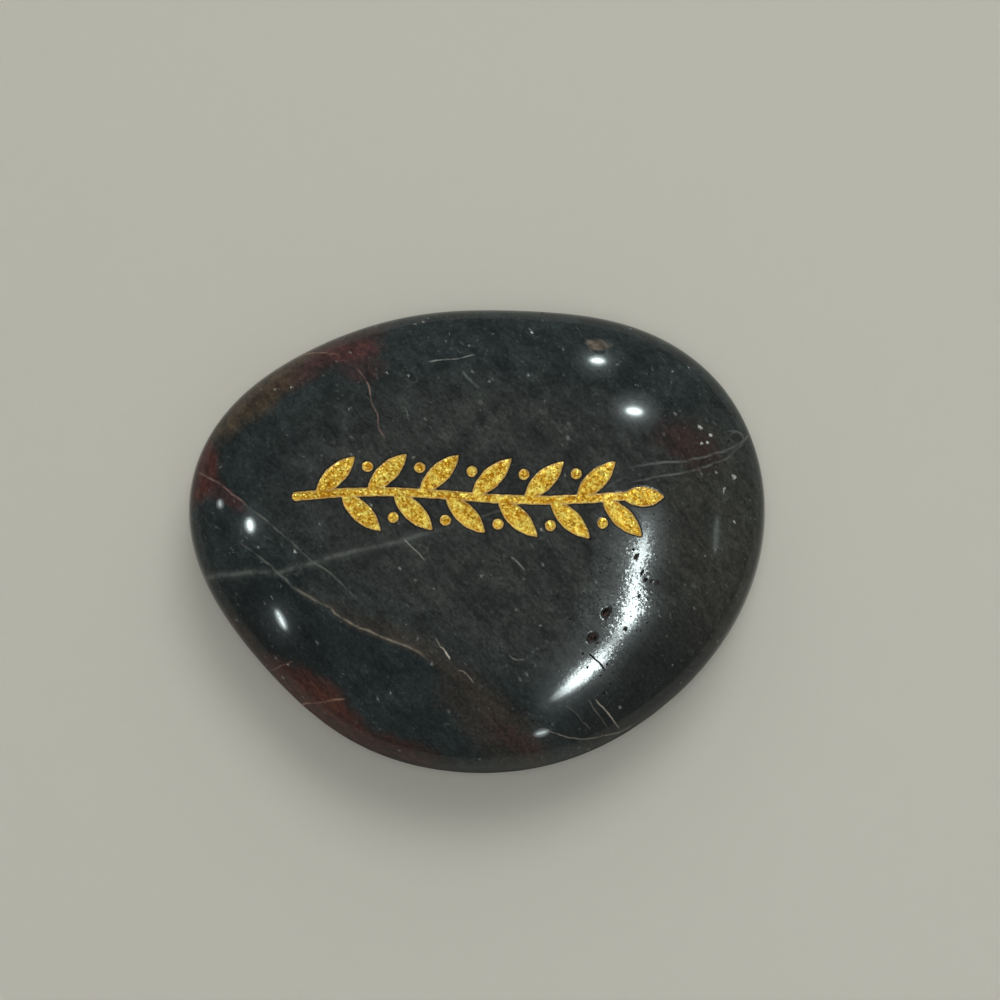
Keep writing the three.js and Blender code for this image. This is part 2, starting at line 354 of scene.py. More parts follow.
# How dark each place in a pit is painted: dirt, and painted shade of the hollow.
store(stone_mesh, "pitted", "FLOAT", "value", np.where(on_crown, pit_dirt_shade_and_depth(x, y)[0], 0))

# The widest line rubs against everything, so its polish is thinner, most of all on the near side.
RIM_WEAR_FROM = 1.2  # heights above the widest line between which the polish grows whole
RIM_WEAR_TO = 4.4
RIM_POLISH = 0.62  # the share of the polish that is left at the stone's two ends
RIM_POLISH_SWING = 0.55  # the share is greater on the far side by this, and smaller on the near
rim_polish = np.minimum(1, RIM_POLISH + RIM_POLISH_SWING * np.sin(bearing))
rim_wear = 1 - smooth_step(RIM_WEAR_FROM, RIM_WEAR_TO, above_rim)
store(stone_mesh, "polish", "FLOAT", "value", 1 - rim_wear * (1 - rim_polish))

# The stone: its veins
# Cracks in the rock that silica and clay filled long before the river wore it. Each is a thin sheet that
# stands in the stone, so it shows as a line over the top and runs on over the rim and across the belly.

VEIN_DIP = np.array([0.35, -0.25])  # how far a sheet leans below the rim, in mm for each mm down
VEIN_FADE = 0.12  # a vein fades in and out over this share of its length

# The two widest veins are soft-edged, so each is drawn twice: a haze, and a core along the same places.
GREY_SEAM = ((-36, -4.6), (-26.9, -4.0), (-23, -3.8), (-20.1, -3.8), (-16.9, -3), (-12.8, -1.9), (-7.7, -0.8),
             (-2.8, 0.7))
TAN_SEAM = ((-18.9, -5.0), (-16.6, -6.6), (-14.9, -7.4), (-13.8, -8.4), (-11.6, -9.6), (-9.3, -10.5),
            (-6.2, -11.8), (-4.9, -12.8))

# Each vein: name, colour, width in mm, strength, and its places in plan from end to end.
VEINS = (
    ("grey_seam_haze", "#464a48", 1.0, 0.55, GREY_SEAM),
    ("tan_seam_haze", "#4d4640", 0.7, 0.5, TAN_SEAM),
    ("grey_seam", "#5a5e5b", 0.4, 0.7, GREY_SEAM),
    ("grey_seam_faint", "#585b59", 0.26, 0.55,
     ((-2.8, 0.7), (1.5, 2.0), (5.5, 3.0), (8.9, 3.3), (12.3, 4.3), (15.6, 6.0))),
    ("grey_fork_upper", "#666967", 0.24, 0.75,
     ((14.6, 6.6), (18.9, 7.3), (21.8, 7.6), (24.2, 8.3), (26.4, 9.2), (27.6, 10.1), (29.5, 12.0))),
    ("grey_fork_lower", "#666967", 0.22, 0.65,
     ((15.5, 5.2), (18.7, 5.9), (22.1, 6.6), (25.1, 7.7), (27.1, 9.3), (27.4, 10.6), (26.4, 10.9),
      (25.2, 10.7))),
    ("tan_seam", "#7a7469", 0.2, 1.0, TAN_SEAM),
    ("tan_seam_far", "#5d5f5a", 0.22, 0.85, ((-22.2, -2.2), (-19.9, -4.1), (-18.1, -5.7), (-15.4, -7.2))),
    ("cross_thread", "#63655f", 0.2, 0.7,
     ((-24, 3.4), (-21.7, 1.7), (-16.9, -2.5), (-15.5, -3.5), (-13.6, -5.1), (-11.6, -7.1))),
    ("short_thread", "#5a5d5a", 0.18, 0.6, ((-24.4, -0.4), (-23.7, -1.1), (-20.3, -3.5))),
    ("pink_thread", "#7d6863", 0.17, 0.9,
     ((-12.4, 17.2), (-11.6, 16.4), (-11, 15), (-10.6, 13.3), (-10.1, 12.1), (-10.0, 11.1), (-9.2, 9.4))),
    ("left_thread", "#7b655e", 0.2, 0.75, ((-29, 7.0), (-26.3, 5.3), (-24.8, 4.1), (-23.4, 3.1))),
    ("pale_dash_low", "#8f7064", 0.17, 0.95,
     ((-19.5, -17.6), (-18.1, -17.1), (-15.5, -16.9), (-13.2, -16.6))),
    ("pale_dash_high", "#6d5049", 0.16, 0.8, ((-23, -14.6), (-21.8, -13.9), (-20.5, -13.4), (-18.5, -12.7))),
    ("cream_hair_a", "#989286", 0.13, 1.0, ((12.0, -16.6), (13.2, -17.9), (14.0, -18.9), (14.6, -19.6))),
    ("cream_hair_b", "#65605a", 0.12, 0.8, ((9.0, -17.2), (10.4, -18.4), (11.6, -19.8))),
    ("cream_hair_c", "#65605a", 0.12, 0.8, ((11.2, -16.6), (12.4, -18.2), (13.6, -19.8))),
    ("cream_arc", "#827c72", 0.13, 0.85,
     ((6.5, -19.6), (8.5, -20.3), (10.9, -20.7), (14.5, -20.0), (16.6, -18.9))),
    ("bright_dash_a", "#b9b3a7", 0.15, 0.95, ((-4.1, -10.6), (-3.7, -11.4), (-3.2, -11.8), (-2.6, -12.8))),
    ("bright_dash_b", "#8a847a", 0.14, 0.85, ((-1.9, -13.8), (-1.2, -14.0), (-0.7, -14.5), (-0.2, -15.1))),
    ("dark_thread_fleck", "#858680", 0.14, 0.85, ((-7.4, -0.5), (-6.3, -1.6), (-5.2, -2.8))),
    ("middle_fleck", "#8a8b86", 0.16, 0.8, ((3.5, -2.3), (4.2, -3.0), (4.9, -3.9))),
    ("near_fleck", "#83847e", 0.16, 0.8, ((3.3, -12.2), (3.9, -12.7), (4.9, -12.8))),
    ("top_dash", "#858985", 0.13, 0.85, ((-5, 17.8), (-3.2, 18.0), (-1.0, 18.3), (0, 18.6))),
    ("top_fleck", "#687270", 0.24, 0.5, ((-1.4, 16.8), (-0.8, 16.0), (0.3, 14.9))),
    ("rim_dash", "#82695d", 0.15, 0.7, ((-18.6, 19.1), (-16.4, 19.2), (-14.3, 18.9))),
)

# The rock is of two beds, which meet at the tan seam: the line runs on along the reddish haze to the near
# edge.
BED_LINE = ((-21.7, -2.5), (-19.9, -4.1), (-18.1, -5.7), (-14.9, -7.4), (-13.8, -8.4), (-11.6, -9.6),
            (-9.3, -10.5), (-6.2, -11.8), (-4.5, -13.1), (-2.8, -14.5), (-0.5, -16.7), (2.5, -19.7), (6, -24))
# A hairline crack crosses the near right shoulder, open and dark.
CRACK_LINE = ((11.3, -12.0), (11.9, -12.6), (12.5, -13.1), (13.1, -13.9))


def vein_line(places, steps=8):
    """Smooth line through the places: the cubic between two of them has the slopes of their neighbours'
    chords."""
    known = np.array(places, dtype=float)
    known = np.concatenate([[2 * known[0] - known[1]], known, [2 * known[-1] - known[-2]]])
    t = np.linspace(0, 1, steps, endpoint=False)[:, None]
    spans = []
    for before, start, end, after in zip(known, known[1:], known[2:], known[3:]):
        straight = end - before
        square = 2 * before - 5 * start + 4 * end - after
        cube = 3 * start - before - 3 * end + after
        spans.append(start + (straight * t + square * t**2 + cube * t**3) / 2)
    return np.concatenate(spans + [known[-2:-1]])


def distance_to_line(x, y, line):
    """Signed distance in plan to an open line, positive on its left, and the share of the line's length at
    the nearest place. The end pieces are taken as running on straight, so the share can leave 0 to 1."""
    pieces = np.diff(line, axis=0)
    lengths = np.hypot(*pieces.T)
    reached = np.concatenate([[0], np.cumsum(lengths)])
    nearest = np.full(x.shape, np.inf)
    signed = np.zeros(x.shape)
    share = np.zeros(x.shape)
    for number, ((start_x, start_y), (along_x, along_y), length) in enumerate(zip(line, pieces, lengths)):
        off_x = x - start_x
        off_y = y - start_y
        low = -np.inf if number == 0 else 0
        high = np.inf if number == len(lengths) - 1 else 1
        t = np.clip((off_x * along_x + off_y * along_y) / length**2, low, high)
        away = np.hypot(off_x - t * along_x, off_y - t * along_y)
        closer = away < nearest
        side = np.sign(along_x * off_y - along_y * off_x)
        nearest = np.where(closer, away, nearest)
        signed = np.where(closer, away * side, signed)
        share = np.where(closer, (reached[number] + t * length) / reached[-1], share)
    return signed, share


below_rim = np.minimum(0, above_rim)
sheet_x = x - VEIN_DIP[0] * below_rim
sheet_y = y - VEIN_DIP[1] * below_rim
lines = [(name, places) for name, _, _, _, places in VEINS]
for name, places in (*lines, ("bed_line", BED_LINE), ("crack_line", CRACK_LINE)):
    signed, share = distance_to_line(sheet_x, sheet_y, vein_line(places))
    ends = smooth_step(-0.02, VEIN_FADE, share) * (1 - smooth_step(1 - VEIN_FADE, 1.02, share))
    store(stone_mesh, name, "FLOAT_VECTOR", "vector", np.stack([signed, ends, share], axis=-1))

# The stone: its material
# Jasper and greenstone, cut by veins and stained red by iron, ground and tumble-polished. The polish gives a
# clear mirror-like gloss, below which the rock is almost black, with pale grains, veins and dark stains.

jasper = bpy.data.materials.new("polished_jasper_and_gilded_engraving")
jasper.use_nodes = True
jasper.node_tree.nodes.clear()


def linear(colour):
    """Linear colour with alpha from an sRGB hex value."""
    parts = np.array([int(colour[i:i + 2], 16) for i in (1, 3, 5)]) / 255
    parts = np.where(parts <= 0.04045, parts / 12.92, ((parts + 0.055) / 1.055) ** 2.4)
    return (*parts, 1.0)


def add_node(tree, kind, inputs=None, **settings):
    """Adds a node with its settings. An input is a value, or a node whose first open output is linked to it,
    or an output itself. Inputs are given by name, and by number where a node has several of one name."""
    node = tree.nodes.new("ShaderNode" + kind)
    for name, value in settings.items():
        setattr(node, name, value)
    for name, value in (inputs or {}).items():
        if isinstance(name, int):
            socket = node.inputs[name]
        else:
            socket = next(s for s in node.inputs if s.enabled and s.name == name)
        if isinstance(value, bpy.types.Node):
            value = next(s for s in value.outputs if s.enabled)
        if isinstance(value, bpy.types.NodeSocket):
            tree.links.new(value, socket)
        else:
            socket.default_value = value
    return node


tree = jasper.node_tree
coordinates = add_node(tree, "TexCoord").outputs["Object"]
place = add_node(tree, "VectorMath", {0: coordinates, "Scale": 1 / MM}, operation="SCALE")

# Slow noise that pushes every patch's edge about, so that none is a plain oval.
WARP_SIZE = 5.0
WARP_REACH = 3.8
HALF = (0.5, 0.5, 0.5)  # the middle of a noise's or a cell's three random numbers
warp_noise = add_node(tree, "TexNoise", {"Vector": place, "Scale": 1 / WARP_SIZE, "Detail": 5.0,
                                         "Roughness": 0.62})
warp_centred = add_node(tree, "VectorMath", {0: warp_noise.outputs["Color"], 1: HALF}, operation="SUBTRACT")
warp = add_node(tree, "VectorMath", {0: warp_centred, "Scale": WARP_REACH}, operation="SCALE")
wandering = add_node(tree, "VectorMath", {0: place, 1: warp}, operation="ADD")

# The rock's own grain is drawn out from the far left to the near right.
GRAIN_HEADING = np.radians(-47)
GRAIN_STRETCH = 6.0
STREAK_WIDTH = 0.7
grain_place = add_node(tree, "Mapping", {"Vector": wandering, "Rotation": (0, 0, GRAIN_HEADING),
                                         "Scale": (GRAIN_STRETCH, 1, 1.4)}, vector_type="TEXTURE")
streaks = add_node(tree, "TexNoise", {"Vector": grain_place, "Scale": 1 / STREAK_WIDTH, "Detail": 5.0,
                                      "Roughness": 0.62})

# Ground colour: green-black rock, cloudy on the scale of a few millimetres, and a greyer bed across the
# middle.
TEAL_BLACK = linear("#1f2526")
TEAL_DUSK = linear("#2a3233")
GREY_BLACK = linear("#292c2c")
GREY_DUSK = linear("#383b39")
CLOUD_SIZE = 3.0
GREY_BED_MIDDLE = (6, 0.5, 12)
GREY_BED_HALF_SIZES = (26, 14.5, 30)
GREY_BED_HEADING = np.radians(-14)
clouds = add_node(tree, "TexNoise", {"Vector": wandering, "Scale": 1 / CLOUD_SIZE, "Detail": 6.0,
                                     "Roughness": 0.66})
cloud_share = add_node(tree, "MapRange", {"Value": clouds, "From Min": 0.38, "From Max": 0.64})
teal_bed = add_node(tree, "Mix", {"Factor": cloud_share, "A": TEAL_BLACK, "B": TEAL_DUSK}, data_type="RGBA")
grey_bed = add_node(tree, "Mix", {"Factor": cloud_share, "A": GREY_BLACK, "B": GREY_DUSK}, data_type="RGBA")
stored_bed = add_node(tree, "Attribute", attribute_name="bed_line").outputs["Vector"]
bed_line = add_node(tree, "SeparateXYZ", {"Vector": stored_bed})
ragged = add_node(tree, "MapRange", {"Value": streaks, "To Min": -0.6, "To Max": 0.6})
beyond = add_node(tree, "Math", {0: bed_line.outputs["X"], 1: ragged}, operation="ADD")
grey_place = add_node(tree, "Mapping", {"Vector": wandering, "Location": GREY_BED_MIDDLE,
                                        "Rotation": (0, 0, GREY_BED_HEADING), "Scale": GREY_BED_HALF_SIZES},
                      vector_type="TEXTURE")
grey_reach = add_node(tree, "VectorMath", {0: grey_place}, operation="LENGTH")
in_grey = add_node(tree, "MapRange", {"Value": grey_reach.outputs["Value"],
                                      "From Min": 1.3, "From Max": 0.72}, interpolation_type="SMOOTHSTEP")
above_seam = add_node(tree, "MapRange", {"Value": beyond, "From Min": -0.35, "From Max": 0.35},
                      interpolation_type="SMOOTHSTEP")
grey_share = add_node(tree, "Math", {0: in_grey, 1: above_seam}, operation="MULTIPLY")
colour = add_node(tree, "Mix", {"Factor": grey_share, "A": teal_bed, "B": grey_bed}, data_type="RGBA")

# Iron-brown haze, which fades away from the seam into the grey bed.
IRON_BROWN = linear("#3c3732")
HAZE_WIDTH = 2.6
haze_out = add_node(tree, "MapRange", {"Value": beyond, "From Min": HAZE_WIDTH, "From Max": 0.2,
                                       "To Max": 0.7}, interpolation_type="SMOOTHSTEP")
haze_along = add_node(tree, "MapRange", {"Value": bed_line.outputs["Z"], "From Min": 0.12, "From Max": 0.42})
haze_share = add_node(tree, "Math", {0: haze_out, 1: haze_along}, operation="MULTIPLY")
haze_share = add_node(tree, "Math", {0: haze_share, 1: above_seam}, operation="MULTIPLY")
colour = add_node(tree, "Mix", {"Factor": haze_share, "A": colour, "B": IRON_BROWN}, data_type="RGBA")

# Patches: name, colour, strength, how soft the edge is, middle, half-sizes and heading in plan.
PATCHES = (
    ("umber_low", "#34302c", 0.8, 0.7, (1.0, -18.0, 10), (7, 3.2, 10), -44),
    ("dusk_low_right", "#1f2121", 0.75, 0.6, (18, -15, 10), (10, 6, 14), 45),
    ("dusk_right", "#353530", 0.6, 0.7, (24, 1, 12), (5, 12, 14), 0),
    ("dusk_low_left", "#191c1d", 0.7, 0.9, (-20.5, -11, 10), (8, 5, 12), -50),
    ("red_upper", "#3d2b29", 0.85, 0.8, (-16.0, 18.6, 12), (7.0, 1.9, 7), 26),
    ("red_upper_heart", "#4c302f", 0.8, 0.9, (-13.0, 18.9, 12), (3.4, 1.2, 5), 8),
    ("pale_crust", "#5d564d", 0.9, 0.8, (12.4, 19.6, 13), (0.9, 0.55, 2), 0),
    ("red_upper_low", "#3b2626", 0.6, 0.9, (-11.6, 17.0, 12), (2.4, 1.2, 5), 10),
    ("brown_rim", "#43382b", 0.8, 0.8, (-22.6, 15.2, 10), (7.5, 2.2, 7), 44),
    ("red_left", "#4a2823", 0.85, 0.8, (-28.4, 6.6, 10), (1.7, 3.0, 6), -14),
    ("red_left_tail", "#3d2526", 0.7, 0.9, (-25.8, 4.4, 12), (3.0, 0.8, 6), -38),
    ("red_low_far", "#3e2b27", 0.85, 0.7, (-23.6, -12.2, 9), (5.0, 1.7, 9), -52),
    ("red_low", "#4b2d26", 0.95, 0.5, (-15.8, -18.3, 9), (8.0, 2.8, 11), -41),
    ("red_low_near", "#39221d", 0.85, 0.8, (-8.6, -21.9, 9), (5.0, 1.6, 9), -22),
    ("red_right", "#332323", 0.7, 1.0, (21.4, 9.4, 13), (3.4, 2.0, 6), -35),
    ("red_low_middle", "#3a2b2a", 0.7, 1.0, (4.0, -20.6, 10), (3.2, 1.1, 8), -24),
)
patch_grain = add_node(tree, "MapRange", {"Value": streaks, "From Min": 0.36, "From Max": 0.56,
                                          "To Min": 0.6, "To Max": 1.0})
for name, shade, strength, softness, middle, half_sizes, heading in PATCHES:
    inner = add_node(tree, "Mapping", {"Vector": wandering, "Location": middle,
                                       "Rotation": (0, 0, np.radians(heading)), "Scale": half_sizes},
                     vector_type="TEXTURE")
    reach = add_node(tree, "VectorMath", {0: inner}, operation="LENGTH")
    share = add_node(tree, "MapRange", {"Value": reach.outputs["Value"], "From Min": 1 + softness / 2,
                                        "From Max": 1 - softness / 2, "To Max": strength},
                     interpolation_type="SMOOTHSTEP")
    broken = add_node(tree, "Math", {0: share, 1: patch_grain}, operation="MULTIPLY")
    colour = add_node(tree, "Mix", {"Factor": broken, "A": colour, "B": linear(shade)}, data_type="RGBA")

# The crystals themselves: a mosaic of light and dark ones, a quarter of a millimetre across and drawn out a
# little along the fabric, with a softer mottling and the coarser streaks of the fabric over them.
CRYSTAL_SIZE = 0.24
CRYSTAL_STRETCH = 1.8
mosaic_place = add_node(tree, "Mapping", {"Vector": place, "Rotation": (0, 0, GRAIN_HEADING),
                                          "Scale": (CRYSTAL_STRETCH, 1, 1)}, vector_type="TEXTURE")
mosaic = add_node(tree, "TexVoronoi", {"Vector": mosaic_place, "Scale": 1 / CRYSTAL_SIZE})
mosaic_parts = add_node(tree, "SeparateColor", {"Color": mosaic.outputs["Color"]})
mosaic_gain = add_node(tree, "MapRange", {"Value": mosaic_parts.outputs["Blue"],
                                          "To Min": 0.8, "To Max": 1.22})
MOTTLE_SIZE = 0.34
mottle = add_node(tree, "TexNoise", {"Vector": place, "Scale": 1 / MOTTLE_SIZE, "Detail": 2.0,
                                     "Roughness": 0.7})
mottle_gain = add_node(tree, "MapRange", {"Value": mottle, "From Min": 0.28, "From Max": 0.72,
                                          "To Min": 0.78, "To Max": 1.22})
streak_gain = add_node(tree, "MapRange", {"Value": streaks, "From Min": 0.3, "From Max": 0.7,
                                          "To Min": 0.7, "To Max": 1.34})
gain = add_node(tree, "Math", {0: mottle_gain, 1: streak_gain}, operation="MULTIPLY")
gain = add_node(tree, "Math", {0: gain, 1: mosaic_gain}, operation="MULTIPLY")
colour = add_node(tree, "VectorMath", {0: colour, "Scale": gain}, operation="SCALE")

# Hairlines: cracks too thin to have filled, which run with the grain and come and go. Each follows a level
# line of a noise that is drawn out along the grain.
HAIR_GREY = linear("#6e716c")
HAIR_SPACING = 0.9
HAIR_STRETCH = 14.0
HAIR_PATCH_SIZE = 2.2
hair_place = add_node(tree, "Mapping", {"Vector": place, "Rotation": (0, 0, GRAIN_HEADING),
                                        "Scale": (HAIR_STRETCH, 1, 1.4)}, vector_type="TEXTURE")
hair_noise = add_node(tree, "TexNoise", {"Vector": hair_place, "Scale": 1 / HAIR_SPACING, "Detail": 0.0})
hair_level = add_node(tree, "Math", {0: hair_noise, 1: 0.5}, operation="SUBTRACT")
hair_away = add_node(tree, "Math", {0: hair_level}, operation="ABSOLUTE")
hair = add_node(tree, "MapRange", {"Value": hair_away, "From Min": 0.012, "From Max": 0.001})
hair_patches = add_node(tree, "TexNoise", {"Vector": place, "Scale": 1 / HAIR_PATCH_SIZE, "Detail": 3.0,
                                           "Roughness": 0.7})
hair_shows = add_node(tree, "MapRange", {"Value": hair_patches, "From Min": 0.53, "From Max": 0.7,
                                         "To Max": 0.42})
hair_share = add_node(tree, "Math", {0: hair, 1: hair_shows}, operation="MULTIPLY")
colour = add_node(tree, "Mix", {"Factor": hair_share, "A": colour, "B": HAIR_GREY}, data_type="RGBA")

# Veins: a line where the distance to the sheet is small, with uneven edges and gaps.
WOBBLE_LENGTH = 1.7
WOBBLE_REACH = 0.2
BREAK_LENGTH = 1.5
vein_wobble = add_node(tree, "TexNoise", {"Vector": place, "Scale": 1 / WOBBLE_LENGTH, "Detail": 3.0,
                                          "Roughness": 0.5})
wobble = add_node(tree, "MapRange", {"Value": vein_wobble, "To Min": -WOBBLE_REACH, "To Max": WOBBLE_REACH})
breaks = add_node(tree, "TexNoise", {"Vector": place, "Scale": 1 / BREAK_LENGTH, "Detail": 4.0,
                                     "Roughness": 0.7})
wholeness = add_node(tree, "MapRange", {"Value": breaks, "From Min": 0.38, "From Max": 0.58,
                                        "To Min": 0.22, "To Max": 1.0})
for name, shade, width, strength, _ in VEINS:
    stored = add_node(tree, "Attribute", attribute_name=name)
    parts = add_node(tree, "SeparateXYZ", {"Vector": stored.outputs["Vector"]})
    shifted = add_node(tree, "Math", {0: parts.outputs["X"], 1: wobble}, operation="ADD")
    away = add_node(tree, "Math", {0: shifted}, operation="ABSOLUTE")
    line = add_node(tree, "MapRange", {"Value": away, "From Min": 0.85 * width, "From Max": 0.1 * width,
                                       "To Max": strength}, interpolation_type="SMOOTHSTEP")
    whole = add_node(tree, "Math", {0: line, 1: wholeness}, operation="MULTIPLY")
    share = add_node(tree, "Math", {0: whole, 1: parts.outputs["Y"]}, operation="MULTIPLY")
    colour = add_node(tree, "Mix", {"Factor": share, "A": colour, "B": linear(shade)}, data_type="RGBA")

# Grains: pale crystals in cells of a few sizes, some round and some drawn out along the fabric. A cell's own
# random numbers say whether it has one, how big it is and how bright. Name, colour, cell size and biggest
# half-width in mm, share of cells without one, strength, and how many times longer than wide.
GRAINS = (
    ("dust", "#6b716f", 0.4, 0.13, 0.6, 0.8, 1.3),
    ("grains", "#a9aeaa", 0.68, 0.17, 0.76, 0.9, 1.4),
    ("crystals", "#d4d8d4", 1.1, 0.2, 0.9, 0.9, 1.3),
    ("short_dashes", "#747a77", 0.5, 0.08, 0.45, 0.85, 4.5),
    ("bright_dashes", "#a2a6a1", 0.8, 0.12, 0.78, 1.0, 2.6),
    ("long_dashes", "#8f938f", 0.85, 0.09, 0.62, 0.8, 8.0),
)
JITTER_SIZE = 0.3
JITTER_REACH = 0.5
GRAIN_TURN = 0.06  # the longer a grain is, the more it turns off the fabric: radians for each time its width
jitter_noise = add_node(tree, "TexNoise", {"Vector": place, "Scale": 1 / JITTER_SIZE, "Detail": 1.0})
jitter = add_node(tree, "VectorMath", {0: jitter_noise.outputs["Color"], 1: HALF}, operation="SUBTRACT")
jitter_scaled = add_node(tree, "VectorMath", {0: jitter, "Scale": JITTER_REACH}, operation="SCALE")
uneven_place = add_node(tree, "VectorMath", {0: place, 1: jitter_scaled}, operation="ADD")
cluster = add_node(tree, "MapRange", {"Value": clouds, "From Min": 0.4, "From Max": 0.62, "To Min": 0.25})
for name, shade, cell, half_width, without, strength, length in GRAINS:
    grain_heading = GRAIN_HEADING - GRAIN_TURN * length
    turned = add_node(tree, "Mapping", {"Vector": uneven_place, "Rotation": (0, 0, grain_heading),
                                        "Scale": (length, 1, 1)}, vector_type="TEXTURE")
    cells = add_node(tree, "TexVoronoi", {"Vector": turned, "Scale": 1 / cell})
    luck = add_node(tree, "SeparateColor", {"Color": cells.outputs["Color"]})
    size = add_node(tree, "MapRange", {"Value": luck.outputs["Red"], "From Min": without, "From Max": 1.0,
                                       "To Min": 0.0001, "To Max": half_width / cell})
    reach = add_node(tree, "Math", {0: cells.outputs["Distance"], 1: size}, operation="DIVIDE")
    speck = add_node(tree, "MapRange", {"Value": reach, "From Min": 1.3, "From Max": 0.3, "To Max": strength})
    glint = add_node(tree, "Math", {0: luck.outputs["Green"], 1: 2.0}, operation="POWER")
    dim = add_node(tree, "MapRange", {"Value": glint, "To Min": 0.1, "To Max": 1.0})
    dimmed = add_node(tree, "Math", {0: speck, 1: dim}, operation="MULTIPLY")
    share = add_node(tree, "Math", {0: dimmed, 1: cluster}, operation="MULTIPLY")
    colour = add_node(tree, "Mix", {"Factor": share, "A": colour, "B": linear(shade)}, data_type="RGBA")

# Single bright crystals near the right-hand rim: place, half-length, half-width and heading in plan.
BRIGHT_CRYSTALS = (
    ((22.9, 11.1, 12), 0.3, 0.2, -40),
    ((24.0, 10.3, 12), 0.22, 0.16, 0),
    ((23.6, 9.5, 12), 0.2, 0.15, 30),
    ((23.0, 9.4, 12), 0.16, 0.14, 0),
    ((26.4, 6.0, 11), 0.22, 0.15, 80),
    ((25.3, 4.6, 11), 0.42, 0.13, 75),
    ((26.4, 1.4, 11), 0.2, 0.14, 90),
)
CRYSTAL_WHITE = linear("#b4b8b3")
for middle, half_length, half_width, heading in BRIGHT_CRYSTALS:
    inner = add_node(tree, "Mapping", {"Vector": uneven_place, "Location": middle,
                                       "Rotation": (0, 0, np.radians(heading)),
                                       "Scale": (half_length, half_width, 3)}, vector_type="TEXTURE")
    reach = add_node(tree, "VectorMath", {0: inner}, operation="LENGTH")
    share = add_node(tree, "MapRange", {"Value": reach.outputs["Value"], "From Min": 1.3, "From Max": 0.5})
    colour = add_node(tree, "Mix", {"Factor": share, "A": colour, "B": CRYSTAL_WHITE}, data_type="RGBA")

# The crack is open and black. The pits hold brown dirt that the polish did not reach, with painted shade of
# the hollow, darkest in the middle.
PIT_BLACK = linear("#0e0b0a")
PIT_BROWN = linear("#43352f")
stored_crack = add_node(tree, "Attribute", attribute_name="crack_line").outputs["Vector"]
crack_line = add_node(tree, "SeparateXYZ", {"Vector": stored_crack})
crack_away = add_node(tree, "Math", {0: crack_line.outputs["X"]}, operation="ABSOLUTE")
crack_near = add_node(tree, "MapRange", {"Value": crack_away, "From Min": 0.14, "From Max": 0.06})
crack = add_node(tree, "Math", {0: crack_near, 1: crack_line.outputs["Y"]}, operation="MULTIPLY")
# Painted shade: the pits' near-black paint stands for the shade of the hollows as well as for dirt.
pitted = add_node(tree, "Attribute", attribute_name="pitted").outputs["Fac"]
in_pit = add_node(tree, "MapRange", {"Value": pitted, "From Min": 0.18, "From Max": 0.5, "To Max": 0.9})
pit_blotch = add_node(tree, "MapRange", {"Value": mottle, "From Min": 0.42, "From Max": 0.58})
pit_colour = add_node(tree, "Mix", {"Factor": pit_blotch, "A": PIT_BLACK, "B": PIT_BROWN}, data_type="RGBA")
colour = add_node(tree, "Mix", {"Factor": in_pit, "A": colour, "B": pit_colour}, data_type="RGBA")
colour = add_node(tree, "Mix", {"Factor": crack, "A": colour, "B": PIT_BLACK}, data_type="RGBA")

# Gold paint: metal flakes in a clear amber binder. Where they lie flat it is satin, and where they stand up
# they flash. Paler gold painted along its edge is a painted highlight, and a dark line round it is painted
# shade.
GOLD_DEEP = linear("#b47614")
GOLD_MAIN = linear("#d6a632")
GOLD_PALE = linear("#f4e070")
GOLD_PAINTED_HIGHLIGHT = linear("#c8a468")
PAINTED_SHADE_DARK = linear("#15110a")
FLAKE_SIZE = 0.17
BLOTCH_SIZE = 0.9
engraved = add_node(tree, "Attribute", attribute_name="engraved").outputs["Fac"]
gilded = add_node(tree, "MapRange", {"Value": engraved, "From Min": -0.035, "From Max": 0.035})
# Painted shade: a dark line painted just outside the gold, where the groove's brim would be in shade.
painted_brim_shade = add_node(tree, "MapRange", {"Value": engraved, "From Min": -0.2, "From Max": -0.03, "To Max": 0.9})
flakes = add_node(tree, "TexVoronoi", {"Vector": place, "Scale": 1 / FLAKE_SIZE})
flake_parts = add_node(tree, "SeparateColor", {"Color": flakes.outputs["Color"]})
blotches = add_node(tree, "TexNoise", {"Vector": place, "Scale": 1 / BLOTCH_SIZE, "Detail": 3.0,
                                       "Roughness": 0.6})
flake_share = add_node(tree, "Math", {0: flake_parts.outputs["Red"], 1: 0.5, 2: blotches},
                       operation="MULTIPLY_ADD")
gold_mix = add_node(tree, "ValToRGB", {"Fac": flake_share})
gold_mix.color_ramp.elements[0].color = GOLD_DEEP
gold_mix.color_ramp.elements[0].position = 0.5
gold_mix.color_ramp.elements[1].color = GOLD_PALE
gold_mix.color_ramp.elements[1].position = 0.98
gold_mix.color_ramp.elements.new(0.7).color = GOLD_MAIN
# Painted highlight: a paler gold painted along the inside of the paint's edge, for the light its meniscus
# catches.
painted_highlight_edge = add_node(tree, "MapRange", {"Value": engraved, "From Min": 0.2, "From Max": 0.06,
                                         "To Max": 0.85})
gold = add_node(tree, "Mix", {"Factor": painted_highlight_edge, "A": gold_mix.outputs["Color"], "B": GOLD_PAINTED_HIGHLIGHT},
                data_type="RGBA")
colour = add_node(tree, "Mix", {"Factor": painted_brim_shade, "A": colour, "B": PAINTED_SHADE_DARK}, data_type="RGBA")
colour = add_node(tree, "Mix", {"Factor": gilded, "A": colour, "B": gold}, data_type="RGBA")

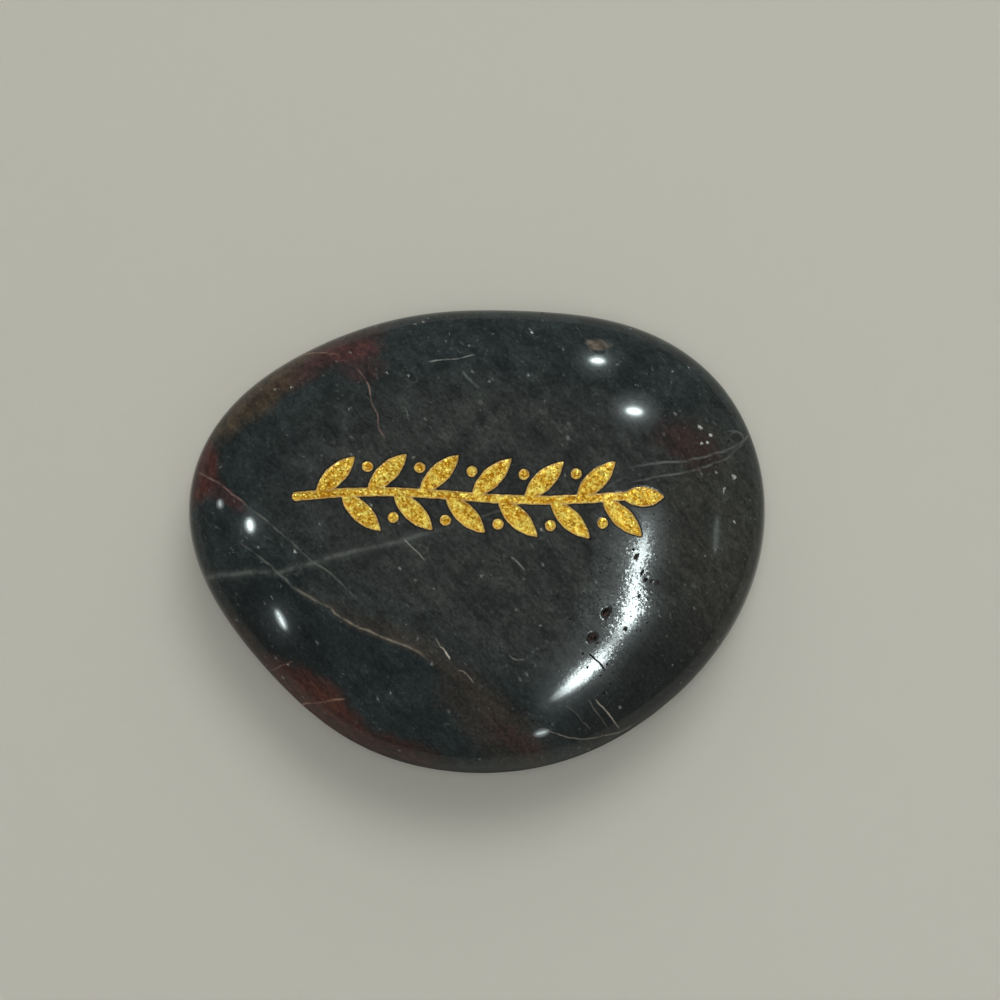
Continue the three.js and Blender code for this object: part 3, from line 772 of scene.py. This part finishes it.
# Relief too fine for the mesh: on the near right shoulder the polish is frosted and full of dust-sized
# pores, and single crystals there stand a little askew, so that they flash beside the mirrored window.
WORN_MIDDLE = (14.4, -6.5, 14)
WORN_HALF_SIZES = (11, 5.5, 9)
WORN_HEADING = np.radians(64)
PORE_SPACING = 0.34
worn_place = add_node(tree, "Mapping", {"Vector": place, "Location": WORN_MIDDLE,
                                        "Rotation": (0, 0, WORN_HEADING), "Scale": WORN_HALF_SIZES},
                      vector_type="TEXTURE")
worn_reach = add_node(tree, "VectorMath", {0: worn_place}, operation="LENGTH")
worn = add_node(tree, "MapRange", {"Value": worn_reach.outputs["Value"], "From Min": 1.25, "From Max": 0.5},
                interpolation_type="SMOOTHSTEP")
pores = add_node(tree, "TexVoronoi", {"Vector": uneven_place, "Scale": 1 / PORE_SPACING})
pore_luck = add_node(tree, "SeparateColor", {"Color": pores.outputs["Color"]})
pore_chance = add_node(tree, "MapRange", {"Value": worn, "To Min": 0.995, "To Max": 0.78})
pore_size = add_node(tree, "MapRange", {"Value": pore_luck.outputs["Red"], "From Min": pore_chance,
                                        "From Max": 1.0, "To Max": 0.42})
pore_near = add_node(tree, "Math", {0: pore_size, 1: pores.outputs["Distance"]}, operation="SUBTRACT")
pore = add_node(tree, "MapRange", {"Value": pore_near, "From Min": 0.0, "From Max": 0.12})
FROST_SIZE = 0.3
FROST_DEPTH = 0.003
frosting = add_node(tree, "TexNoise", {"Vector": place, "Scale": 1 / FROST_SIZE, "Detail": 2.0,
                                       "Roughness": 0.6})
frost_height = add_node(tree, "Math", {0: frosting, 1: worn}, operation="MULTIPLY")
stone_bump = add_node(tree, "Bump", {"Height": frost_height, "Strength": 1.0, "Distance": FROST_DEPTH * MM})

# A flake or crystal leans by the cube of its random direction, so that most lie almost flat and a few stand
# up.
random_lean = add_node(tree, "VectorMath", {0: flakes.outputs["Color"], 1: HALF}, operation="SUBTRACT")
lean_squared = add_node(tree, "VectorMath", {0: random_lean, 1: random_lean}, operation="MULTIPLY")
lean = add_node(tree, "VectorMath", {0: lean_squared, 1: random_lean}, operation="MULTIPLY")
CRYSTAL_LEAN = 0.11
FLAKE_LEAN = 4.0
crystal_reach = add_node(tree, "Math", {0: worn, 1: CRYSTAL_LEAN}, operation="MULTIPLY")
crystal_tilt = add_node(tree, "VectorMath", {0: lean, "Scale": crystal_reach}, operation="SCALE")
crystal_lean = add_node(tree, "VectorMath", {0: stone_bump, 1: crystal_tilt}, operation="ADD")
polish_normal = add_node(tree, "VectorMath", {0: crystal_lean}, operation="NORMALIZE")
flake_tilt = add_node(tree, "VectorMath", {0: lean, "Scale": FLAKE_LEAN}, operation="SCALE")
flake_lean = add_node(tree, "VectorMath", {0: stone_bump, 1: flake_tilt}, operation="ADD")
gold_normal = add_node(tree, "VectorMath", {0: flake_lean}, operation="NORMALIZE")
normal = add_node(tree, "Mix", {"Factor": gilded, "A": polish_normal, "B": gold_normal}, data_type="VECTOR")

# Last, the gloss. It is missing from the pores, from the crack, from the pits out to their lips and from the
# line of painted shade round the gold, and the holes are rough as well.
open_holes = add_node(tree, "Math", {0: pore, 1: crack}, operation="MAXIMUM")
colour = add_node(tree, "Mix", {"Factor": pore, "A": colour, "B": PIT_BLACK}, data_type="RGBA")
stone_roughness = add_node(tree, "MapRange", {"Value": worn, "To Min": 0.2, "To Max": 0.3})
holes = add_node(tree, "Math", {0: open_holes, 1: in_pit}, operation="MAXIMUM")
hole_roughness = add_node(tree, "Math", {0: holes, 1: 0.5, 2: stone_roughness}, operation="MULTIPLY_ADD")
roughness = add_node(tree, "Mix", {"Factor": gilded, "A": hole_roughness, "B": 0.3}, data_type="FLOAT")
standing = add_node(tree, "MapRange", {"Value": flake_parts.outputs["Green"],
                                       "From Min": 0.45, "From Max": 0.75, "To Min": 0.1, "To Max": 0.6})
metallic = add_node(tree, "Math", {0: gilded, 1: standing}, operation="MULTIPLY")
pit_lip = add_node(tree, "MapRange", {"Value": pitted, "From Min": 0.0, "From Max": 0.06})
unpolished = add_node(tree, "Math", {0: holes, 1: pit_lip}, operation="MAXIMUM")
dull = add_node(tree, "Math", {0: painted_brim_shade, 1: unpolished}, operation="MAXIMUM")
clean = add_node(tree, "Math", {0: 1.0, 1: dull}, operation="SUBTRACT")
polish = add_node(tree, "Attribute", attribute_name="polish").outputs["Fac"]
gloss = add_node(tree, "Math", {0: clean, 1: polish}, operation="MULTIPLY")

surface = add_node(tree, "BsdfPrincipled", {
    "Base Color": colour,
    "Metallic": metallic,
    "Roughness": roughness,
    "IOR": 1.54,
    "Specular IOR Level": 0.0,
    "Normal": normal,
    "Coat Weight": gloss,
    "Coat Roughness": 0.04,
    "Coat IOR": 1.4,
    "Coat Normal": polish_normal,
})
add_node(tree, "OutputMaterial", {"Surface": surface})
stone_mesh.materials.append(jasper)

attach(stone, "root")
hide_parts("river_pebble")

# The floor
# A plain pale matt surface for the stone to lie on. It is no part of the object.

FLOOR_SIZE = 3.0
BOARD_GREY = linear("#bbbab1")
floor_mesh = bpy.data.meshes.new("floor")
half_floor = FLOOR_SIZE / 2
floor_mesh.from_pydata([(-half_floor, -half_floor, 0), (half_floor, -half_floor, 0),
                        (half_floor, half_floor, 0), (-half_floor, half_floor, 0)], [], [(0, 1, 2, 3)])
floor = bpy.data.objects.new("floor", floor_mesh)
bpy.context.scene.collection.objects.link(floor)
matt_board = bpy.data.materials.new("pale_matt_board")
matt_board.use_nodes = True
matt_board.node_tree.nodes.clear()
board = add_node(matt_board.node_tree, "BsdfPrincipled", {"Base Color": BOARD_GREY, "Roughness": 0.7})
add_node(matt_board.node_tree, "OutputMaterial", {"Surface": board})
floor_mesh.materials.append(matt_board)

# The light
# A soft studio. Two big round lights above the far side and one overhead give the floor its brightness and
# the stone its soft shadow. The polish doesn't show them, but only the small lamps and the long window
# below.

BIG_LIGHT_COLOUR = (1.0, 0.99, 0.96)
BIG_LIGHTS = (
    # name, place in metres, diameter in metres, power in watts
    ("sky_panel", (0.1, 0.85, 0.9), 2.0, 6.6),
    ("key", (0.22, 0.68, 1.0), 0.6, 4.8),
    ("overhead", (-0.02, -0.14, 1.3), 0.5, 6.3),
)
for name, light_place, diameter, power in BIG_LIGHTS:
    light_data = bpy.data.lights.new(name, "AREA")
    light_data.shape = "DISK"
    light_data.size = diameter
    light_data.energy = power
    light_data.color = BIG_LIGHT_COLOUR
    light = bpy.data.objects.new(name, light_data)
    light.location = light_place
    light.rotation_euler = Vector(light_place).to_track_quat("Z", "Y").to_euler()
    light.visible_glossy = False
    bpy.context.scene.collection.objects.link(light)

# Lamps that the polish mirrors. Each is drawn as its bright spot on the crown and thrown out along the
# mirrored line of sight, so that it is a small glowing sheet half a metre away.
LAMP_DISTANCE = 500.0
LAMP_COLOUR = linear("#ecfbfa")


def mirrored(x, y):
    """Places at the lamps' distance, in the direction in which the crown at x, y mirrors the sight."""
    spot = np.stack([x, y, crown_height(x, y)], axis=-1)
    outward = np.moveaxis(crown_normal(x, y), 0, -1)
    sight = spot - camera_place
    sight /= np.linalg.norm(sight, axis=-1, keepdims=True)
    bounced = sight - 2 * np.sum(sight * outward, axis=-1, keepdims=True) * outward
    return (spot + LAMP_DISTANCE * bounced) * MM


def glowing_sheet(name, x, y, brightness):
    """A grid of places on the crown thrown out to be a lamp, with a brightness at each of its corners."""
    numbers = np.arange(x.size).reshape(x.shape)
    sheet_mesh = bpy.data.meshes.new(name)
    sheet_mesh.from_pydata(mirrored(x, y).reshape(-1, 3), [], quads(numbers).tolist())
    store(sheet_mesh, "brightness", "FLOAT", "value", brightness)
    sheet_mesh.materials.append(lamp_glow)
    sheet = bpy.data.objects.new(name, sheet_mesh)
    sheet.visible_camera = False
    sheet.visible_diffuse = False
    sheet.visible_shadow = False
    bpy.context.scene.collection.objects.link(sheet)


lamp_glow = bpy.data.materials.new("lamp_glow")
lamp_glow.use_nodes = True
lamp_glow.node_tree.nodes.clear()
strength = add_node(lamp_glow.node_tree, "Attribute", attribute_name="brightness").outputs["Fac"]
glow = add_node(lamp_glow.node_tree, "Emission", {"Color": LAMP_COLOUR, "Strength": strength})
clear = add_node(lamp_glow.node_tree, "BsdfTransparent")
glow_alone = add_node(lamp_glow.node_tree, "AddShader", {0: glow, 1: clear})
add_node(lamp_glow.node_tree, "OutputMaterial", {"Surface": glow_alone})

# Lamps: name, middle of the bright spot, half-length, half-width, heading in degrees, brightness, and how
# strong the haze round it is.
LAMPS = (
    ("lamp_left", -23.1, 1.0, 0.46, 0.2, 100, 46, 0.4),
    ("lamp_left_small", -26.3, 3.3, 0.12, 0.0, 95, 20, 0.1),
    ("lamp_low_left", -19.9, -8.6, 0.78, 0.04, -64, 40, 0.4),
    ("lamp_top", 12.4, 17.95, 0.56, 0.18, -4, 46, 0.75),
    ("lamp_upper_right", 16.1, 12.6, 0.7, 0.27, -6, 46, 1.1),
    ("lamp_near", 6.6, -20.1, 0.4, 0.0, 14, 20, 0.2),
    ("lamp_far_right", 24.45, 0.0, 1.8, 0.14, 86, 2.0, 1.0),
)
LAMP_SIDES = 24
# Rings of a lamp's sheet from its middle out: the share of the spot's half-sizes, the mm past its edge, and
# how bright the spot and the haze are there.
rings = np.array([0.02, 0.6, 1.0, 1.0, 1.0, 1.0, 1.0])
beyond_spot = np.array([0.0, 0.0, 0.0, 0.2, 0.5, 1.1, 2.3])
spot_fades = np.array([1.0, 1.0, 1.0, 0.3, 0.0, 0.0, 0.0])
haze_fades = np.array([0.12, 0.12, 0.12, 0.12, 0.08, 0.025, 0.0])
bearings = np.linspace(0, TURN, LAMP_SIDES + 1)
for name, lamp_x, lamp_y, half_length, half_width, heading, brightness, haze in LAMPS:
    turn = np.radians(heading)
    along = (half_length * rings + beyond_spot)[:, None] * np.cos(bearings)
    across = (half_width * rings + beyond_spot)[:, None] * np.sin(bearings)
    fades = np.maximum(spot_fades, haze * haze_fades)
    glowing_sheet(name, lamp_x + along * np.cos(turn) - across * np.sin(turn),
                  lamp_y + along * np.sin(turn) + across * np.cos(turn),
                  brightness * np.broadcast_to(fades[:, None], along.shape))

# The long window: places along the middle of its bright streak on the crown, with half-width, brightness,
# and the brightness of the haze beside it, which reaches further on the inner side.
WINDOW = np.array([
    (17.9, 4.4, 0.6, 0.0, 0.0), (17.5, 2.8, 0.6, 1.0, 1.5), (17.2, 1.0, 0.6, 5.0, 3.2),
    (16.95, -0.6, 0.55, 20, 4.4), (16.8, -1.8, 0.55, 38, 4.8), (16.3, -3.5, 0.42, 42, 4.8),
    (16.15, -4.6, 0.4, 46, 4.2), (15.95, -6.0, 0.45, 50, 4.2), (15.95, -7.5, 0.76, 54, 4.2),
    (15.3, -8.8, 0.62, 50, 4.2), (14.6, -10.0, 0.38, 20, 3.8), (13.8, -10.95, 0.3, 12, 3.4),
    (12.65, -12.5, 0.44, 44, 3.0), (11.9, -13.35, 0.5, 50, 3.0), (10.6, -14.4, 0.54, 54, 3.0),
    (9.5, -15.35, 0.4, 42, 2.6), (8.3, -16.3, 0.26, 14, 2.0), (7.4, -16.9, 0.2, 2.0, 1.5),
    (5.6, -18.0, 0.2, 0.0, 0.0),
])
STEPS_PER_PLACE = 6
stations = np.arange(len(WINDOW))
finer = np.linspace(0, len(WINDOW) - 1, STEPS_PER_PLACE * len(WINDOW))
window_x, window_y, half_width, brightness, haze = (np.interp(finer, stations, column) for column in WINDOW.T)
heading = np.arctan2(np.gradient(window_y), np.gradient(window_x))
# Lines along the window's sheet from its inner side to its outer: the share of the core's half-width, the mm
# past the core, and how bright the core and the haze are there.
core = np.array([-1.0, -1.0, -1.0, -1.0, -1.0, -0.7, 0.0, 0.7, 1.0, 1.0, 1.0, 1.0, 1.0])
beyond_core = np.array([-4.8, -3.0, -1.6, -0.6, -0.15, 0.0, 0.0, 0.0, 0.15, 0.5, 1.2, 2.2, 3.6])
core_fades = np.array([0.0, 0.0, 0.0, 0.0, 0.3, 1.0, 1.0, 1.0, 0.3, 0.0, 0.0, 0.0, 0.0])
haze_fades = np.array([0.0, 0.16, 0.42, 0.85, 1.0, 1.0, 1.0, 1.0, 1.0, 0.8, 0.35, 0.08, 0.0])
off = half_width[:, None] * core + beyond_core
glowing_sheet("long_window", window_x[:, None] - off * np.sin(heading)[:, None],
              window_y[:, None] + off * np.cos(heading)[:, None],
              np.maximum(brightness[:, None] * core_fades, haze[:, None] * haze_fades))

# The room: soft grey light, brighter near the floor and dim overhead.
ROOM_LOW = linear("#74746f")
ROOM_HIGH = linear("#474847")
world = bpy.data.worlds.new("soft_room")
bpy.context.scene.world = world
world.use_nodes = True
world.node_tree.nodes.clear()
skyward = add_node(world.node_tree, "TexCoord").outputs["Generated"]
up = add_node(world.node_tree, "SeparateXYZ", {"Vector": skyward})
sky = add_node(world.node_tree, "ValToRGB", {"Fac": up.outputs["Z"]})
sky.color_ramp.interpolation = "EASE"
sky.color_ramp.elements[0].color = ROOM_LOW
sky.color_ramp.elements[1].color = ROOM_HIGH
background = add_node(world.node_tree, "Background", {"Color": sky.outputs["Color"], "Strength": 1.0})
add_node(world.node_tree, "OutputWorld", {"Surface": background})

bpy.context.scene.view_settings.view_transform = "Standard"
